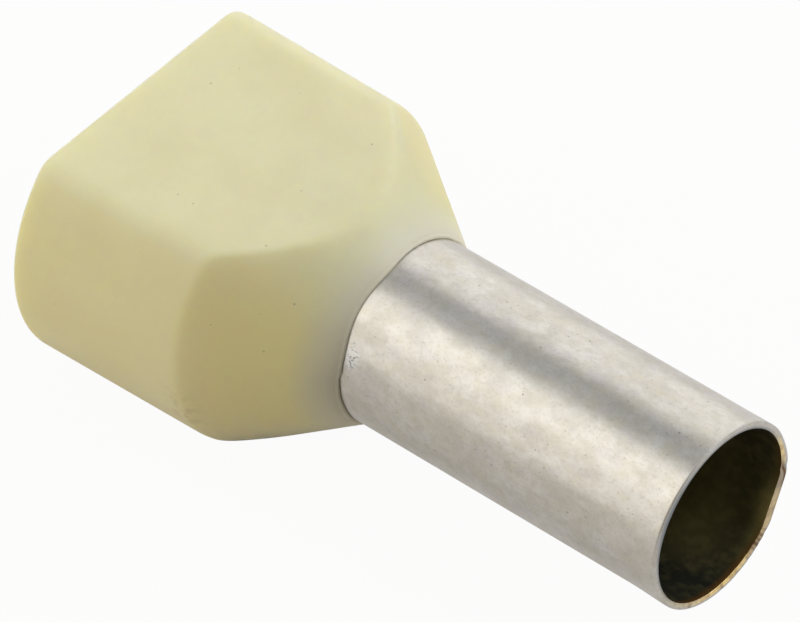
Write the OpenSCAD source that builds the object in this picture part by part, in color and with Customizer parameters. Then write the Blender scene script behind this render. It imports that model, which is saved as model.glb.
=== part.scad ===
// Twin-entry wire ferrule. A tinned copper barrel is pushed through a moulded collar until its
// flared end seats in the collar's throat. Two insulated wires go into the wide end of the
// collar, and their bared strands share the barrel.
// Millimetres. +X runs along the barrel to its mouth, +Y across the collar's width and +Z up.
// The origin is on the barrel's axis, in the plane of the collar's front lip.

/* [Barrel] */
// Outside diameter of the copper tube
barrel_od = 7; // [6.8:0.05:7.05]
// Wall of the copper tube
barrel_wall = 0.25; // [0.15:0.05:0.4]
// Length of tube in front of the collar
barrel_reach = 14; // [8:0.5:25]
// Length of tube inside the collar
barrel_hold = 4; // [2.5:0.25:4.5]
// How far the tube opens out along the length inside the collar
flare_rise = 0.15; // [0.05:0.05:0.25]
// Rounding on both edges of the mouth
mouth_round = 0.07; // [0.02:0.01:0.07]

/* [Collar] */
// Length of the collar
collar_length = 12; // [10:0.5:16]
// Width across the bulged sides at the wire entry
collar_width = 13.8; // [13.4:0.1:15]
// Thickness across the flat faces
collar_thick = 9.15; // [9:0.05:9.6]
// Radius of the bulged sides
side_radius = 6.2; // [6:0.05:6.8]
// Radius of the four long corners
corner_radius = 1; // [0.9:0.05:1.4]
// Draft of the bulged sides, which close in towards the barrel
side_draft = 1.4; // [0:0.1:3]
// Wall round the wire entry
collar_wall = 0.8; // [0.6:0.05:0.8]
// Angle between the front cone and the barrel's axis
cone_angle = 34.3; // [30:0.1:40]
// Thickness of the lip where the cone runs out on the barrel
lip = 0.06; // [0.03:0.01:0.2]
// Rounding where the faces turn into the front cone
fold_radius = 0.9; // [0.2:0.05:1.5]
// Rounding on both edges of the wire entry
entry_round = 0.2; // [0.05:0.05:0.25]
// Length of the funnel that leads the strands into the barrel
funnel_length = 3; // [2:0.25:4]

/* [Hidden] */

barrel_r = barrel_od / 2;
bore_r = barrel_r - barrel_wall;
lip_r = barrel_r + lip;
half_w = collar_width / 2;
half_t = collar_thick / 2;
side_fall = tan(side_draft) / half_w;

// Facets along each stretch of a quarter of the outline, and along each rounding
side_steps = 10;
corner_steps = 6;
flat_steps = 11;
round_steps = 3;
fold_steps = 5;

// The outline has flat faces, bulged sides, and corner arcs that are tangent to both.
side_y = half_w - side_radius;
corner_z = half_t - corner_radius;
corner_y = side_y + sqrt(pow(side_radius - corner_radius, 2) - pow(corner_z, 2));
corner_turn = asin(corner_z / (side_radius - corner_radius));
flat_turn = atan2(half_t, corner_y);

function even_steps(from, to, steps) = [for (i = [0 : steps]) from + (to - from) * i / steps];
function but_last(list) = [for (i = [0 : len(list) - 2]) list[i]];
function reversed(list) = [for (i = [len(list) - 1 : -1 : 0]) list[i]];
function arc_points(y, z, r, from, to, steps) =
    [for (a = even_steps(from, to, steps)) [y + r * cos(a), z + r * sin(a)]];

// A quarter of the outline from +Y up to +Z, moved in by inset
function quarter(inset) = concat(
    but_last(arc_points(side_y, 0, side_radius - inset, 0, corner_turn, side_steps)),
    but_last(arc_points(corner_y, corner_z, corner_radius - inset, corner_turn, 90, corner_steps)),
    [for (a = even_steps(flat_turn, 90, flat_steps)) [half_t / tan(a), half_t - inset]]);

// The upper half from +Y round to -Y, and the whole outline as that half and its half turn
function upper(inset) = let (q = quarter(inset))
    concat(but_last(q), [for (p = reversed(q)) [-p[0], p[1]]]);
function outline(inset) = let (u = but_last(upper(inset))) concat(u, -u);

// A point of the outline carried along to x, closing in with the draft of the sides
function drafted(p, x) = [x, p[0] * (1 - side_fall * (x + collar_length)), p[1]];
function outline_ring(x, inset) = [for (p = outline(inset)) drafted(p, x)];
function radius(p) = norm([p[1], p[2]]);

// Where a line of the outline meets the front cone, found by closing in on it
function meeting(p, x = 0, tries = 5) =
    tries == 0 ? drafted(p, x)
    : meeting(p, (lip_r - radius(drafted(p, x))) / tan(cone_angle), tries - 1);
skin = outline(0);
meetings = [for (p = skin) meeting(p)];

// The two ways away from a meeting: back along the drafted line, and on along the cone
function line_way(p) = let (v = [-1, side_fall * p[0], 0]) v / norm(v);
function cone_way(m) =
    [cos(cone_angle), -sin(cone_angle) * m[1] / radius(m), -sin(cone_angle) * m[2] / radius(m)];

// Rounding over the meeting m, tangent to the line of p at k = 0 and to the cone at k = 1
function fold_point(p, m, k) =
    let (line = line_way(p), cone = cone_way(m), bend = acos(-line * cone), a = bend * k,
         along_line = tan(bend / 2) - sin(a),
         inward = (1 - cos(a)) / sin(bend))
    m + fold_radius * (along_line * line + inward * (cone + cos(bend) * line));

// Round rings whose points stand in line with the folds. A seat ring's chords clear the tube.
function round_ring(x, r) = [for (m = meetings) [x, m[1] * r / radius(m), m[2] * r / radius(m)]];
widest_step = (90 - flat_turn) / flat_steps;
function seat_ring(x, r) = round_ring(x, r / cos(widest_step / 2));

// Rounding of the wire entry, from a = 0 on the faces to a = 90 on the end
function entry_x(a) = entry_round * (1 - sin(a)) - collar_length;
function entry_inset(a) = entry_round * (1 - cos(a));

// From the wire entry over the outside to the lip, then back through the seat and the funnel
collar_rings = concat(
    [for (a = even_steps(90, 0, round_steps)) outline_ring(entry_x(a), entry_inset(a))],
    [for (k = even_steps(0, 1, fold_steps))
        [for (i = [0 : len(skin) - 1]) fold_point(skin[i], meetings[i], k)]],
    [round_ring(0, lip_r),
     seat_ring(0, barrel_r),
     seat_ring(-barrel_hold, barrel_r + flare_rise),
     outline_ring(-barrel_hold - funnel_length, collar_wall)],
    [for (a = even_steps(0, 90, round_steps)) outline_ring(entry_x(a), collar_wall - entry_inset(a))]);

// Joins rings of points into one closed skin, with the last ring joined to the first
module ring_skin(rings) {
    around = len(rings[0]);
    along = len(rings);
    polyhedron(
        points = [for (ring = rings) each ring],
        faces = [for (j = [0 : along - 1]) for (i = [0 : around - 1])
            let (here = j * around, next = (j + 1) % along * around, k = (i + 1) % around)
            [here + i, next + i, next + k, here + k]],
        convexity = 6);
}

// Moulded collar: a box-like oval sleeve that a cone closes down onto the barrel
module collar() {
    color("#d0caa2") ring_skin(collar_rings);
}

// One side of the tube's section, as radius and place along the axis
tube_section = concat(
    [[bore_r + flare_rise, -barrel_hold],
     [barrel_r + flare_rise, -barrel_hold],
     [barrel_r, 0]],
    arc_points(barrel_r - mouth_round, barrel_reach - mouth_round, mouth_round, 0, 90, round_steps),
    arc_points(bore_r + mouth_round, barrel_reach - mouth_round, mouth_round, 90, 180, round_steps),
    [[bore_r, 0]]);

// Drawn copper tube with a square-cut mouth, opening out slowly where the collar holds it
module barrel() {
    color("#c9c4ba") rotate([0, 90, 0]) rotate_extrude($fn = 96) polygon(tube_section);
}

collar();
barrel();
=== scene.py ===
import math

import bpy
import numpy as np
from mathutils import Matrix, Vector


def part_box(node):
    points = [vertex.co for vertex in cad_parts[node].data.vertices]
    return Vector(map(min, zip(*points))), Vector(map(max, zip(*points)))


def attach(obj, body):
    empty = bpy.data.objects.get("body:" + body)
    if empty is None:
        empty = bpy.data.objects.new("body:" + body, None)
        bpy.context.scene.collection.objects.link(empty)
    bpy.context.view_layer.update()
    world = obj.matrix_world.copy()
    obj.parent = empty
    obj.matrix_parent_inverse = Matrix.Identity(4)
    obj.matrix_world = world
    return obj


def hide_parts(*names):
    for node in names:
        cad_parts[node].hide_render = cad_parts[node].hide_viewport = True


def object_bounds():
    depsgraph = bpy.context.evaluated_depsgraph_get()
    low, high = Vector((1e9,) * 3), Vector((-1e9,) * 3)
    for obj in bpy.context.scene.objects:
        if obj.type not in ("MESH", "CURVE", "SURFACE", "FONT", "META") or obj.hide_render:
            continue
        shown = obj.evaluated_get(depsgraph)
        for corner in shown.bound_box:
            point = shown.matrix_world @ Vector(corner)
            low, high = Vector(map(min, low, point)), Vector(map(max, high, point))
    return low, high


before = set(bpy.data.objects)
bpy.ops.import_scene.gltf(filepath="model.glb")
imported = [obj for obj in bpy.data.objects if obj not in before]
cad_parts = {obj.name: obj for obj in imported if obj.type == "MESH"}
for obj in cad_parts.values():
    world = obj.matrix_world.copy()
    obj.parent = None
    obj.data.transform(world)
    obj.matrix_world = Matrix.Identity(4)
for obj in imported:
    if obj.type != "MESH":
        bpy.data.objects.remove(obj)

cad_low, cad_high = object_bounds()


# ---- Collar ----------------------------------------------------------------------------
# Moulded in one piece from ivory polypropylene. A box-like oval sleeve takes the two wires
# side by side, and a cone closes it down to a thin lip round the barrel. The mould leaves a
# satin skin, soft folds and rounded edges at the wire entry.

mm = 0.001
collar_low, collar_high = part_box("collar")
barrel_low, barrel_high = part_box("barrel")
collar_length = -collar_low.x
half_width = collar_high.y
half_thick = collar_high.z
barrel_hold = -barrel_low.x
barrel_r = 3.5 * mm
flare_rise = 0.15 * mm
side_radius = 6.2 * mm
corner_radius = 1.0 * mm
side_draft = math.radians(1.4)
narrowing_rate = math.tan(side_draft) / half_width
collar_wall = 0.8 * mm
cone_angle = math.radians(34.3)
lip_r = barrel_r + 0.06 * mm
fold_radius = 0.95 * mm
entry_round = 0.2 * mm
funnel_length = 3 * mm
seat_slack = 0.004 * mm


def arc(y, z, r, start, end, steps):
    """Points along an arc, without its last one."""
    turn = np.linspace(start, end, steps, endpoint=False)
    return np.stack([y + r * np.cos(turn), z + r * np.sin(turn)], 1)


def collar_outline(inset):
    """The section at the wire entry, moved in by inset: flat faces, bulged sides, tight corners."""
    side_y = half_width - side_radius
    corner_z = half_thick - corner_radius
    reach = side_radius - corner_radius
    corner_y = side_y + math.sqrt(reach ** 2 - corner_z ** 2)
    corner_turn = math.asin(corner_z / reach)
    flat_points = 27
    flat_turn = np.linspace(math.atan2(half_thick, corner_y), math.pi / 2, flat_points)
    flat = np.stack([half_thick / np.tan(flat_turn), np.full(flat_points, half_thick - inset)], 1)
    quarter = np.concatenate([
        arc(side_y, 0, side_radius - inset, 0, corner_turn, 24),
        arc(corner_y, corner_z, corner_radius - inset, corner_turn, math.pi / 2, 14),
        flat])
    half = np.concatenate([quarter[:-1], quarter[::-1] * (-1, 1)])[:-1]
    return np.concatenate([half, -half])


def drafted(outline, x):
    """The outline carried along to x, where the draft has drawn its sides in."""
    x = np.broadcast_to(x, len(outline))
    narrowing = 1 - narrowing_rate * (x + collar_length)
    return np.stack([x, outline[:, 0] * narrowing, outline[:, 1]], 1)


def off_axis(points):
    return np.hypot(points[:, 1], points[:, 2])


def sized(ring, x, r):
    """A ring of radius r at x whose points stand in line with those of another ring."""
    scale = r / off_axis(ring)
    return np.stack([np.broadcast_to(x, len(ring)), ring[:, 1] * scale, ring[:, 2] * scale], 1)


# Where the sleeve and the cone would meet in a sharp fold, and which way each leaves it
skin = collar_outline(0)
fold = drafted(skin, 0)
for _ in range(8):
    fold = drafted(skin, (lip_r - off_axis(fold)) / math.tan(cone_angle))
around = np.arctan2(fold[:, 2], fold[:, 1])
sleeve_way = np.stack([-np.ones(len(skin)), narrowing_rate * skin[:, 0], np.zeros(len(skin))], 1)
sleeve_way /= np.linalg.norm(sleeve_way, axis=1, keepdims=True)
cone_way = sized(fold, 0, -math.sin(cone_angle)) + (math.cos(cone_angle), 0, 0)
fold_bend = np.arccos(-(sleeve_way * cone_way).sum(1, keepdims=True))


def folded(k):
    """The rounded fold, from k = 0 where the sleeve ends to k = 1 where the cone starts."""
    turn = fold_bend * k
    back = np.tan(fold_bend / 2) - np.sin(turn)
    inward = (1 - np.cos(turn)) / np.sin(fold_bend)
    return fold + fold_radius * (back * sleeve_way + inward * (cone_way + np.cos(fold_bend) * sleeve_way))


def between(a, b, steps):
    """Rings from a to b, without the first and the last."""
    return [a + (b - a) * k / steps for k in range(1, steps)]


def entry_ring(turn, inset):
    """A ring of a rounded entry edge, from the sleeve at 0 to the end face at a quarter turn.

    The inset function says how far in from the collar's outside each depth of the rounding lies.
    """
    x = entry_round * (1 - math.sin(turn)) - collar_length
    return drafted(collar_outline(inset(entry_round * (1 - math.cos(turn)))), x)


def bell(turns, centre, width):
    """1 where an angle is at the centre, falling away to both sides; centre and width are in degrees."""
    apart = (turns - math.radians(centre) + math.pi) % (2 * math.pi) - math.pi
    return np.exp(-(apart / math.radians(width)) ** 2)


def swell(centre, width):
    return bell(around, centre, width)


# The lip is a narrow band with a rounded edge, feathered out in two places. It runs unevenly
# forward, and opens a hair off the barrel in two places. Its section, as a band and as a
# feather, is given in mm from the edge and off the barrel.
lip_x = 0.02 * mm
for lip_reach, centre, width in (
        (0.11, 102, 16), (0.15, 160, 19), (0.12, 200, 18), (0.08, -95, 25), (0.06, -20, 30),
        (0.03, 168, 1.6), (-0.03, 173, 1.3), (0.02, 181, 1.5)):
    lip_x = lip_x + lip_reach * mm * swell(centre, width)
lip_gap = 0.0015 * mm + 0.006 * mm * swell(70, 18) + 0.009 * mm * swell(178, 20)
feathered = 0.6 * swell(122, 30) + 0.45 * swell(180, 22)
lip_band = [(-0.15, 0.163), (-0.135, 0.135), (-0.11, 0.126), (-0.05, 0.118), (-0.02, 0.1), (-0.004, 0.06)]
lip_feather = [(-0.15, 0.163), (-0.12, 0.143), (-0.09, 0.122), (-0.05, 0.092), (-0.02, 0.06), (-0.004, 0.03)]
bead = []
for (band_x, band_rise), (thin_x, thin_rise) in zip(lip_band, lip_feather):
    x = band_x + (thin_x - band_x) * feathered
    rise = band_rise + (thin_rise - band_rise) * feathered
    bead.append(sized(fold, lip_x + x * mm, barrel_r + rise * mm))
edge_break = 0.005 * mm
gap_depth = 0.12 * mm
grip_start = 0.3 * mm
gap = [sized(fold, lip_x, barrel_r + lip_gap + edge_break),
       sized(fold, lip_x - edge_break, barrel_r + lip_gap),
       sized(fold, lip_x - gap_depth, barrel_r + 0.8 * lip_gap),
       sized(fold, -grip_start, barrel_r + seat_slack)]
seat_end = sized(fold, -barrel_hold, barrel_r + flare_rise + seat_slack)
chamber_end = drafted(collar_outline(collar_wall), -barrel_hold - funnel_length)

# The skin goes forward over the outside to the lip, and back through the seat to the entry
entry_turns = [math.radians(degrees) for degrees in (0, 18, 36, 54, 72, 90)]
outside = [entry_ring(turn, lambda depth: depth) for turn in reversed(entry_turns)]
outside += between(outside[-1], folded(0), 14)
outside += [folded(k / 10) for k in range(11)]
outside += between(outside[-1], bead[0], 16) + bead + gap
inside = between(gap[-1], seat_end, 8) + [seat_end] + between(seat_end, chamber_end, 6) + [chamber_end]
entry_inside = [entry_ring(turn, lambda depth: collar_wall - depth) for turn in entry_turns]
inside += between(chamber_end, entry_inside[0], 6) + entry_inside
collar_rings = outside + inside


def closed_skin(name, rings):
    """A mesh through closed rings of points, with the last ring joined to the first."""
    across = len(rings[0])
    place = np.arange(len(rings) * across).reshape(len(rings), across)
    on = np.roll(place, -1, 0)
    faces = np.stack([place, on, np.roll(on, -1, 1), np.roll(place, -1, 1)], -1).reshape(-1, 4)
    mesh = bpy.data.meshes.new(name)
    mesh.from_pydata(np.concatenate(rings).tolist(), [], faces.tolist())
    mesh.shade_smooth()
    mesh.update()
    piece = bpy.data.objects.new(name, mesh)
    bpy.context.scene.collection.objects.link(piece)
    return piece


def vertex_value(piece, name, values):
    """Stores one number for each vertex, which a material reads by that name."""
    layer = piece.data.attributes.new(name, "FLOAT", "POINT")
    layer.data.foreach_set("value", np.asarray(values, np.float32))


collar = closed_skin("moulded_collar", collar_rings)
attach(collar, "root")
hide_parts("collar")

# How much plastic lies over the metal, and a painted shade: the sides and the cone get a deeper, more
# saturated ivory than the flats
on_collar = np.concatenate(collar_rings)
from_axis = off_axis(on_collar)
full_cover = 1.1 * mm
plastic_cover = ((from_axis - barrel_r) / full_cover).clip(0, 1)
plastic_cover[on_collar[:, 0] < -barrel_hold] = 1
to_side = ((np.abs(on_collar[:, 1]) / from_axis - 0.55) / 0.35).clip(0, 1)
on_flat = np.abs(on_collar[:, 2]) > half_thick - 0.35 * mm
ahead = ((on_collar[:, 0] + 5 * mm) / (1.5 * mm)).clip(0, 1)
side_shade = to_side * plastic_cover * (0.4 + 0.6 * ahead) * ~on_flat
vertex_value(collar, "cover", plastic_cover)
vertex_value(collar, "side_shade", side_shade)

# Painted shade on the thin lip at the near side, hand marks by the fold, and painted shade in the gap under
# the lip
seam_shade = np.tile(swell(178, 44), len(collar_rings)) * (1 - plastic_cover) ** 1.05
vertex_value(collar, "seam_shade", 0.95 * seam_shade)
past_fold = on_collar[:, 0] - np.tile(fold[:, 0], len(collar_rings))
handled = np.tile(swell(198, 10), len(collar_rings)) * np.exp(-((past_fold / mm + 0.1) / 0.45) ** 2)
vertex_value(collar, "handled", handled)
# The gap under the lip is painted near black, as shade.
in_gap = np.zeros(len(collar_rings))
in_gap[len(outside) - len(gap) + 1:len(outside)] = 1
vertex_value(collar, "gap_shade", np.repeat(in_gap, len(fold)))


class Finish:
    """The nodes of one material, or of the room's light, under construction."""

    def __init__(self, owner):
        self.owner = owner
        owner.use_nodes = True
        self.tree = owner.node_tree
        self.shader = self.tree.nodes.get("Principled BSDF")
        self.coordinates = self.tree.nodes.new("ShaderNodeTexCoord").outputs

    def add(self, kind, settings=None, **inputs):
        """A new node. Its sockets are fed by name, or by number where two share a name: _0, _1."""
        node = self.tree.nodes.new("ShaderNode" + kind)
        for key, value in (settings or {}).items():
            setattr(node, key, value)
        for key, value in inputs.items():
            self.feed(node.inputs[int(key[1:]) if key[0] == "_" else key], value)
        return node

    def feed(self, socket, value):
        """Links a node's output to the socket, or sets the socket to a plain value."""
        if isinstance(value, bpy.types.NodeSocket):
            self.tree.links.new(value, socket)
        else:
            socket.default_value = value

    def scaled(self, per_metre):
        place = self.coordinates["Object"]
        return self.add("VectorMath", {"operation": "MULTIPLY"}, _0=place, _1=per_metre).outputs[0]

    def noise(self, per_metre, detail=3.0, rough=0.5):
        size = per_metre if isinstance(per_metre, tuple) else (per_metre,) * 3
        node = self.add("TexNoise", Vector=self.scaled(size), Scale=1.0, Detail=detail, Roughness=rough)
        return node.outputs["Fac"]

    def ramp(self, value, low, high, start=0.0, end=1.0):
        """A smooth step from start to end while value goes from low to high."""
        node = self.add("MapRange", {"interpolation_type": "SMOOTHSTEP"}, Value=value)
        for key, number in zip(("From Min", "From Max", "To Min", "To Max"), (low, high, start, end)):
            self.feed(node.inputs[key], number)
        return node.outputs["Result"]

    def math(self, operation, a, b=0.0):
        return self.add("Math", {"operation": operation}, _0=a, _1=b).outputs[0]

    def blend(self, amount, a, b):
        """Colour a where amount is 0, colour b where it is 1."""
        return self.add("Mix", {"data_type": "RGBA"}, _0=amount, _6=a, _7=b).outputs[2]

    def toned(self, under, patches, tone):
        """A colour with a tone laid over it. Patches say where: a pattern, its low and high, and the most."""
        pattern, low, high, most = patches
        return self.blend(self.ramp(pattern, low, high, 0, most), under, tone)

    def painted(self, name):
        return self.add("Attribute", {"attribute_name": name}).outputs["Fac"]


pale_ivory = (0.80, 0.76, 0.50, 1)
full_ivory = (0.77, 0.725, 0.465, 1)
flush = (0.74, 0.68, 0.48, 1)
shaded_side_ivory = (0.81, 0.725, 0.365, 1)
thin_ivory = (0.86, 0.78, 0.575, 1)
painted_seam_shade = (0.45, 0.41, 0.30, 1)
speck_brown = (0.25, 0.22, 0.13, 1)
hand_brown = (0.50, 0.36, 0.19, 1)
painted_gap_shade = (0.05, 0.04, 0.03, 1)

plastic = Finish(bpy.data.materials.new("ivory_polypropylene"))
ivory = plastic.toned(pale_ivory, (plastic.noise(350), 0.35, 0.65, 1.0), full_ivory)
ivory = plastic.toned(ivory, (plastic.noise(900, 2), 0.55, 0.75, 0.25), flush)
# Painted shade: the sides and the cone take a deeper, more saturated ivory.
ivory = plastic.blend(plastic.painted("side_shade"), ivory, shaded_side_ivory)
ivory = plastic.blend(plastic.ramp(plastic.painted("cover"), 0.0, 1.0), thin_ivory, ivory)
# Painted shade by the seam on the near side, where the lip is thin.
ivory = plastic.blend(plastic.painted("seam_shade"), ivory, painted_seam_shade)
speck_cells = plastic.add("TexVoronoi", Vector=plastic.scaled((2500, 2500, 2500)), Scale=1.0).outputs
speck_size = plastic.math("MULTIPLY", plastic.ramp(speck_cells["Color"], 0.7, 0.95), 0.13)
speck = plastic.math("LESS_THAN", speck_cells["Distance"], speck_size)
ivory = plastic.blend(plastic.math("MULTIPLY", speck, 0.4), ivory, speck_brown)
hand_spots = plastic.ramp(plastic.noise(3200, 2), 0.42, 0.65, 0.05, 0.45)
ivory = plastic.blend(plastic.math("MULTIPLY", plastic.painted("handled"), hand_spots), ivory, hand_brown)
# Painted shade in the gap between the lip and the barrel.
ivory = plastic.blend(plastic.painted("gap_shade"), ivory, painted_gap_shade)
plastic.feed(plastic.shader.inputs["Base Color"], ivory)
plastic.feed(plastic.shader.inputs["Roughness"], plastic.ramp(plastic.noise(500), 0.3, 0.7, 0.42, 0.52))
plastic.shader.inputs["IOR"].default_value = 1.49
translucent = plastic.ramp(plastic.painted("cover"), 0.0, 0.8, 0.2, 1.0)
plastic.feed(plastic.shader.inputs["Subsurface Weight"], translucent)
plastic.shader.inputs["Subsurface Radius"].default_value = (1.0, 0.82, 0.4)
plastic.shader.inputs["Subsurface Scale"].default_value = 1.4 * mm
moulded_grain = plastic.add("Bump", Strength=0.25, Distance=0.01 * mm, Height=plastic.noise(2500, 4))
plastic.feed(plastic.shader.inputs["Normal"], moulded_grain.outputs[0])
collar.data.materials.append(plastic.owner)


# ---- Barrel ----------------------------------------------------------------------------
# Drawn copper tube, electro-tinned and then cut square, so that copper shows on the rim. The
# collar holds its slowly flared end. A knock has flattened one side of the mouth and turned
# the rim out a little there.

mouth_x = barrel_high.x
barrel_wall = 0.25 * mm
bore_r = barrel_r - barrel_wall
ring_points = 448
spin = np.linspace(0, 2 * math.pi, ring_points, endpoint=False)
knock_turn = -28
knock_reach = 2.6 * mm
turned_out_reach = 1.5 * mm


def hump(centre, width):
    return bell(spin, centre, width)


def fade(x, reach):
    """0 deep in the barrel, rising smoothly to 1 at the mouth over the given length."""
    k = min(max((x - mouth_x + reach) / reach, 0), 1)
    return k * k * (3 - 2 * k)


def flattened(r, chord, soft):
    """A round outline with its knocked side pressed flat, and the two ends of the flat rounded off."""
    flat = chord / np.cos(spin - math.radians(knock_turn)).clip(0.1, None)
    return r - soft * np.log(1 + np.exp((r - flat) / soft))


# The mouth has spread round the knock, and is pressed flat at the knock itself
bore_spread = 0.15 * mm * hump(-92, 58) - 0.05 * mm * hump(130, 60)
skin_spread = 0.18 * mm * hump(-78, 58) + 0.07 * mm * hump(-5, 12)
mouth_bore = flattened(bore_r + bore_spread, bore_r - 0.145 * mm, 0.008 * mm)
mouth_skin = flattened(barrel_r + skin_spread, barrel_r - 0.005 * mm, 0.01 * mm)


def barrel_radii(x):
    """Outer and inner radius all round the barrel at x."""
    flare = flare_rise * min(max(-x / barrel_hold, 0), 1)
    outer = barrel_r + flare + (mouth_skin - barrel_r) * fade(x, turned_out_reach)
    inner = bore_r + flare + (mouth_bore - bore_r) * fade(x, knock_reach)
    return outer, inner


def barrel_ring(x, r):
    return np.stack([np.broadcast_to(x, ring_points), r * np.cos(spin), r * np.sin(spin)], 1)


# Rings stand closer together by the lip and towards the mouth
along = np.concatenate([
    np.linspace(-barrel_hold, -0.4 * mm, 8), np.linspace(-0.2 * mm, 0.4 * mm, 7),
    np.linspace(0.8 * mm, mouth_x - 3 * mm, 26), np.linspace(mouth_x - 2.8 * mm, mouth_x - 0.17 * mm, 20)])
barrel_rings = [barrel_ring(x, barrel_radii(x)[0]) for x in along]

# The outer edge is sharp on the upper side and eased elsewhere. Nicks run over the cut face.
rim_skin, rim_bore = barrel_radii(mouth_x)
edge_ease = 0.14 * mm - 0.12 * mm * hump(92, 62)
edge_drop = 0.015 * mm - 0.012 * mm * hump(95, 45)
rim_bevel = 0.008 * mm + 0.03 * mm * hump(-80, 50)
nick = 0.07 * mm * hump(-8, 2.5) + 0.03 * mm * hump(-50, 2)
for nick_turn in (-56, -60, -67, -77, -90, -119):
    nick += 0.025 * mm * hump(nick_turn, 1.2)
barrel_rings.append(barrel_ring(mouth_x - edge_ease, rim_skin))
rim_from = len(barrel_rings)
rim_steps = 12
for step in range(rim_steps + 1):
    k = step / rim_steps
    outer_round = (max(0.3 - k, 0) / 0.3) ** 2 * edge_drop
    inner_bevel = (max(k - 0.45, 0) / 0.55) ** 1.6 * rim_bevel
    rim_x = mouth_x - outer_round - inner_bevel - nick * math.sin(math.pi * (0.15 + 0.7 * k))
    barrel_rings.append(barrel_ring(rim_x, rim_skin + (rim_bore - rim_skin) * k))
barrel_rings += [barrel_ring(rim_x - back * mm, rim_bore) for back in (0.003, 0.04)]
barrel_rings += [barrel_ring(x, barrel_radii(x)[1]) for x in along[::-1][1:]]

barrel = closed_skin("tinned_barrel", barrel_rings)
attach(barrel, "root")
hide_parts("barrel")
ring_number = np.repeat(np.arange(len(barrel_rings)), ring_points)
rim_k = ((ring_number - rim_from) / rim_steps).clip(0, None)
on_rim = (ring_number >= rim_from) & (ring_number <= rim_from + rim_steps)


def all_rings(values):
    return np.tile(values, len(barrel_rings))


# Round the rim: bare copper low down, a tan stretch on the knock, grey and tin elsewhere
golden = hump(-86, 43) + 0.4 * hump(-30, 19) + 0.8 * hump(9, 13)
tan = hump(knock_turn, 20)
copper_from = all_rings(0.35 - 0.45 * tan)
bared = ((rim_k - copper_from) / 0.15).clip(0, 1) * all_rings(golden.clip(0, 1)) * on_rim
greyed = ((rim_k - 0.5) / 0.5).clip(0, 1)
# The outer edge at the top is painted darker, a painted shade that damps its glint.
greyed += 0.25 * all_rings(hump(95, 35)) * np.exp(-(rim_k / 0.15) ** 2)
greyed += 0.75 * all_rings(hump(142, 26)) * (rim_k / 0.3).clip(0, 1)
greyed = np.maximum(greyed.clip(0, 1) * all_rings(1 - hump(-60, 85)), all_rings(0.9 * tan)) * on_rim
vertex_value(barrel, "bared", bared)
vertex_value(barrel, "greyed", greyed)

# Brown oxide in the nicks, and a dark brown line across the cut beside the knock
browned = 0.4 * hump(-56, 5.5) + 0.3 * hump(-14, 9) + 0.2 * hump(-46, 11)
for nick_turn, nick_width, nick_brown in (
        (-119, 1.8, 0.4), (-90, 1.3, 0.55), (-77.5, 1.8, 0.4), (-67, 1.4, 0.45), (-64.5, 0.6, 0.3),
        (-61, 0.9, 0.5), (-58, 1.0, 0.6), (-55, 0.7, 0.4), (-52, 0.9, 0.5), (-48.5, 0.7, 0.3)):
    browned += nick_brown * hump(nick_turn, nick_width)
line_k = all_rings(0.15 + 0.7 * hump(-1, 9))
line_brown = all_rings((1.3 * hump(-12, 10) + 0.35 * hump(-38, 12)).clip(0, 1))
brown_line = np.exp(-((rim_k - line_k) / 0.25) ** 2) * line_brown
browned = np.maximum(all_rings(browned.clip(0, 1)), brown_line) * on_rim
vertex_value(barrel, "browned", browned)
vertex_value(barrel, "matte", (ring_number >= rim_from - 1) & (ring_number <= rim_from + rim_steps + 1))

# Inside, painted shade: near black low down, lighter olive by the knock and near the mouth, and a line of
# dark copper-brown painted shade just behind the rim
on_barrel = np.concatenate(barrel_rings)
deep_in = (mouth_x - on_barrel[:, 0]) / mm
in_bore = ring_number > rim_from + rim_steps
bore_shade = 0.2 + 0.33 * all_rings(hump(-50, 40)) * ((deep_in - 0.8) / 1.5).clip(0, 1)
bore_shade += 0.9 * all_rings(hump(-36, 22)) * np.exp(-(deep_in / 0.42) ** 2)
bore_shade -= 0.22 * all_rings(hump(-112, 32)) + 0.1 * all_rings(hump(12, 25))
near_rim = (1 - (deep_in - 0.04) / 0.12).clip(0, 1)
# A dark copper-brown line of painted shade just inside the rim.
inner_edge_shade = near_rim * all_rings(hump(-60, 75) * (1 - 0.9 * hump(-34, 20))) * in_bore
vertex_value(barrel, "bore", in_bore)
vertex_value(barrel, "bore_shade", bore_shade.clip(0, 1))
vertex_value(barrel, "inner_edge_shade", inner_edge_shade)

# A small scuff in the tin just in front of the collar's lip, with a pale bluish painted reflection round it
scuff_and_reflection = all_rings(hump(156, 6)) * np.exp(-((on_barrel[:, 0] / mm - 0.45) / 0.25) ** 2)
vertex_value(barrel, "scuff_and_reflection", scuff_and_reflection)

bright_tin = (0.66, 0.638, 0.605, 1)
cloudy_tin = (0.585, 0.557, 0.507, 1)
warm_tin = (0.60, 0.565, 0.48, 1)
lilac_tin = (0.585, 0.55, 0.555, 1)
dull_tin = (0.50, 0.475, 0.43, 1)
speckle_brown = (0.42, 0.39, 0.33, 1)
pit_brown = (0.2, 0.18, 0.14, 1)
painted_reflection_pale = (0.76, 0.77, 0.775, 1)
scuff_black = (0.12, 0.11, 0.09, 1)
bright_copper = (1.0, 0.78, 0.37, 1)
dark_copper = (0.7, 0.51, 0.24, 1)
cut_grey = (0.21, 0.235, 0.26, 1)
nick_and_line_brown = (0.155, 0.075, 0.036, 1)
painted_bore_shade = (0.025, 0.026, 0.019, 1)
bore_olive = (0.50, 0.42, 0.15, 1)
painted_edge_shade = (0.25, 0.10, 0.014, 1)

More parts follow.
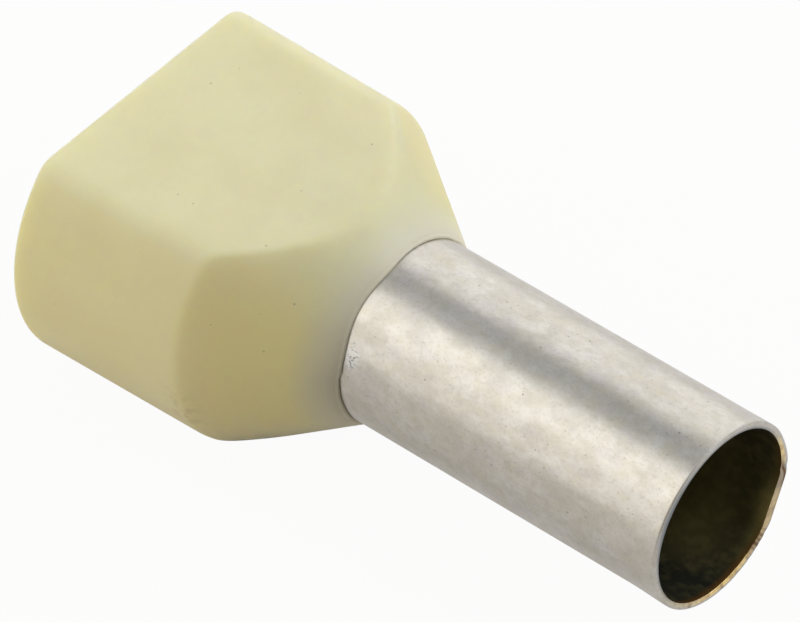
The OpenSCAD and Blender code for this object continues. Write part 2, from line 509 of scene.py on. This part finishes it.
metal = Finish(bpy.data.materials.new("tinned_copper"))
tin = metal.toned(bright_tin, (metal.noise((900, 1300, 1300), 3, 0.6), 0.36, 0.64, 1.0), cloudy_tin)
tin = metal.toned(tin, (metal.noise((1400, 1900, 1900), 3, 0.6), 0.46, 0.7, 0.75), warm_tin)
tin = metal.toned(tin, (metal.noise((1100, 1600, 1600), 2), 0.52, 0.7, 0.5), lilac_tin)
tin = metal.toned(tin, (metal.noise((2600, 3400, 3400), 2, 0.6), 0.45, 0.7, 0.4), dull_tin)
tin = metal.toned(tin, (metal.noise((8500, 11500, 11500), 2), 0.52, 0.68, 0.26), speckle_brown)
pit_spots = metal.ramp(metal.noise((6500, 8000, 8000), 2, 0.6), 0.66, 0.73)
pit_groups = metal.ramp(metal.noise(900, 2), 0.45, 0.6, -1, 0)
tin = metal.toned(tin, (metal.math("ADD", pit_spots, pit_groups), 0.0, 1.0, 0.7), pit_brown)
at_scuff_and_reflection = metal.painted("scuff_and_reflection")
# A painted reflection: the tin pale and bluish round the scuff, with dark scuff flecks in it.
tin = metal.toned(tin, (at_scuff_and_reflection, 0.0, 0.5, 0.6), painted_reflection_pale)
scuff_flecks = metal.ramp(metal.noise((8000, 12000, 12000), 1), 0.54, 0.62)
tin = metal.blend(metal.math("MULTIPLY", at_scuff_and_reflection, scuff_flecks), tin, scuff_black)

copper = metal.toned(bright_copper, (metal.noise(3200, 2), 0.44, 0.66, 1.0), dark_copper)
rim = metal.blend(metal.painted("greyed"), tin, cut_grey)
rim = metal.blend(metal.painted("bared"), rim, copper)
rim = metal.blend(metal.painted("browned"), rim, nick_and_line_brown)
mottle = metal.ramp(metal.noise((2200, 2600, 2600), 2), 0.4, 0.65, -0.04, 0.06)
# Painted shade in the bore, from near black to a lighter olive.
bore_skin = metal.blend(metal.math("ADD", metal.painted("bore_shade"), mottle), painted_bore_shade, bore_olive)
# Painted shade in a dark copper-brown line just inside the rim.
bore_skin = metal.blend(metal.painted("inner_edge_shade"), bore_skin, painted_edge_shade)
at_bore = metal.painted("bore")
metal.feed(metal.shader.inputs["Base Color"], metal.blend(at_bore, rim, bore_skin))
metal.shader.inputs["Specular IOR Level"].default_value = 0.2
metal.feed(metal.shader.inputs["Metallic"], metal.ramp(at_bore, 0.0, 1.0, 1.0, 0.3))
tin_rough = metal.ramp(metal.noise((900, 1400, 1400), 2), 0.3, 0.7, 0.28, 0.35)
cut_rough = metal.math("MULTIPLY", metal.painted("matte"), 0.5)
metal.feed(metal.shader.inputs["Roughness"], metal.math("MAXIMUM", tin_rough, cut_rough))

# A faint orange peel and a fine grain on the tin, and none in the bore
relief = metal.math("SUBTRACT", 1.0, at_bore)
peel_height = metal.noise((1200, 1800, 1800), 1)
peel = metal.add("Bump", Strength=relief, Distance=0.0022 * mm, Height=peel_height)
grain_height = metal.noise((6000, 8000, 8000), 1)
grain = metal.add("Bump", Strength=relief, Distance=0.0015 * mm, Height=grain_height, Normal=peel.outputs[0])
metal.feed(metal.shader.inputs["Normal"], grain.outputs[0])
barrel.data.materials.append(metal.owner)


# ---- Bench -----------------------------------------------------------------------------
# A sheet of matt white card that the ferrule lies on. It isn't part of the ferrule. It looks
# plain white from anywhere, and the metal mirrors it more dimly.

bench_half = 400 * mm
bench_z = cad_low.z - 0.02 * mm
bench_mesh = bpy.data.meshes.new("bench")
bench_corners = [(x * bench_half, y * bench_half, bench_z) for x, y in ((-1, -1), (1, -1), (1, 1), (-1, 1))]
bench_mesh.from_pydata(bench_corners, [], [(0, 1, 2, 3)])
bench = bpy.data.objects.new("bench", bench_mesh)
bpy.context.scene.collection.objects.link(bench)


def looked_at(finish, rays):
    """1 for rays that come from the camera, straight or through something clear."""
    return finish.math("MAXIMUM", rays["Is Camera Ray"], rays["Is Transmission Ray"])


sheet = Finish(bpy.data.materials.new("white_sheet"))
sheet.shader.inputs["Base Color"].default_value = (0.74, 0.70, 0.645, 1)
sheet.shader.inputs["Roughness"].default_value = 0.9
sheet_rays = sheet.add("LightPath").outputs
across_bench = sheet.add("SeparateXYZ", Vector=sheet.coordinates["Object"]).outputs["Y"]
# The glow the metal sees is painted light, brighter towards the far side of the bench.
mirrored_glow = sheet.ramp(across_bench, -25 * mm, 22 * mm, 0.2, 0.61)
in_metal = sheet.math("MULTIPLY", sheet_rays["Is Glossy Ray"], mirrored_glow)
glowing = sheet.math("MAXIMUM", sheet.math("MULTIPLY", looked_at(sheet, sheet_rays), 0.95), in_metal)
glow = sheet.add("Emission", Color=(1, 1, 1, 1), Strength=1.0)
lifted = sheet.add("MixShader", _0=glowing, _1=sheet.shader.outputs[0], _2=glow.outputs[0])
sheet.feed(sheet.tree.nodes["Material Output"].inputs["Surface"], lifted.outputs[0])
bench_mesh.materials.append(sheet.owner)


# ---- Lamps -----------------------------------------------------------------------------
# Soft boxes of a product table: a wide one at the left, a tall one behind, stronger ones at the
# back right and back left, and two cards that throw a little light back. The room's walls are
# white to look at and light the ferrule only dimly.

room_light = 0.12
room = Finish(bpy.data.worlds.new("studio"))
room_rays = room.add("LightPath").outputs
up = room.add("SeparateXYZ", Vector=room.coordinates["Generated"]).outputs["Z"]
wall_mirrored = room.math("MULTIPLY", room_rays["Is Glossy Ray"], room.ramp(up, 0.0, 0.3, 0.2, room_light))
wall_glow = room.math("MAXIMUM", room.math("MULTIPLY", looked_at(room, room_rays), 0.97), wall_mirrored)
backdrop = room.tree.nodes["Background"]
backdrop.inputs["Color"].default_value = (1.0, 1.0, 1.0, 1)
room.feed(backdrop.inputs["Strength"], room.math("MAXIMUM", wall_glow, room_light))
bpy.context.scene.world = room.owner

lamp_distance = 600 * mm


def direction(azimuth, elevation):
    """The way out from the ferrule, so many degrees round from its barrel and up from the bench."""
    turn = math.radians(azimuth)
    rise = math.radians(elevation)
    return Vector((math.cos(rise) * math.cos(turn), math.cos(rise) * math.sin(turn), math.sin(rise)))


def soft_box(name, azimuth, elevation, width, height, radiance, tint):
    """A lamp that faces the ferrule, its size in metres and its brightness as seen from there."""
    lamp = bpy.data.lights.new(name, "AREA")
    lamp.shape = "RECTANGLE"
    lamp.size = width
    lamp.size_y = height
    lamp.energy = radiance * math.pi * width * height
    lamp.color = tint
    holder = bpy.data.objects.new(name, lamp)
    away = direction(azimuth, elevation)
    holder.location = away * lamp_distance
    holder.rotation_euler = away.to_track_quat("Z", "Y").to_euler()
    bpy.context.scene.collection.objects.link(holder)


soft_box("left_box", -120.5, 46.5, 0.65, 0.38, 1.38, (1.0, 0.97, 0.9))
soft_box("left_card", -126, 11, 0.84, 0.38, 1.02, (1.0, 0.96, 0.89))
soft_box("back_box", 120, 26, 0.43, 0.65, 1.12, (1.0, 0.985, 0.95))
soft_box("back_right_box", 50, 38, 0.55, 0.6, 2.5, (0.95, 0.98, 1.0))
soft_box("back_left_box", 180, 36, 0.3, 0.3, 1.8, (0.95, 0.98, 1.0))
soft_box("top_card", 176, 66, 0.5, 0.3, 0.365, (0.97, 0.99, 1.0))


# ---- Camera ----------------------------------------------------------------------------
# A long lens on a stand, tilted a little. It looks down past the mouth, from the front of the
# barrel's near side.

aim = Vector((-0.414, 0.256, 0.470)) * mm
view_azimuth = -46.77
view_elevation = 44.98
view_distance = 289.8 * mm
view_roll = math.radians(-3.31)
lens = bpy.data.cameras.new("long_lens")
lens.lens = 380
lens.sensor_width = 36
lens.clip_start = 10 * mm
lens.clip_end = 3
camera = bpy.data.objects.new("camera", lens)
towards = direction(view_azimuth, view_elevation)
camera.matrix_world = (Matrix.Translation(aim + towards * view_distance)
                       @ towards.to_track_quat("Z", "Y").to_matrix().to_4x4()
                       @ Matrix.Rotation(view_roll, 4, "Z"))
bpy.context.scene.collection.objects.link(camera)
bpy.context.scene.camera = camera
bpy.context.scene.view_settings.view_transform = "Standard"
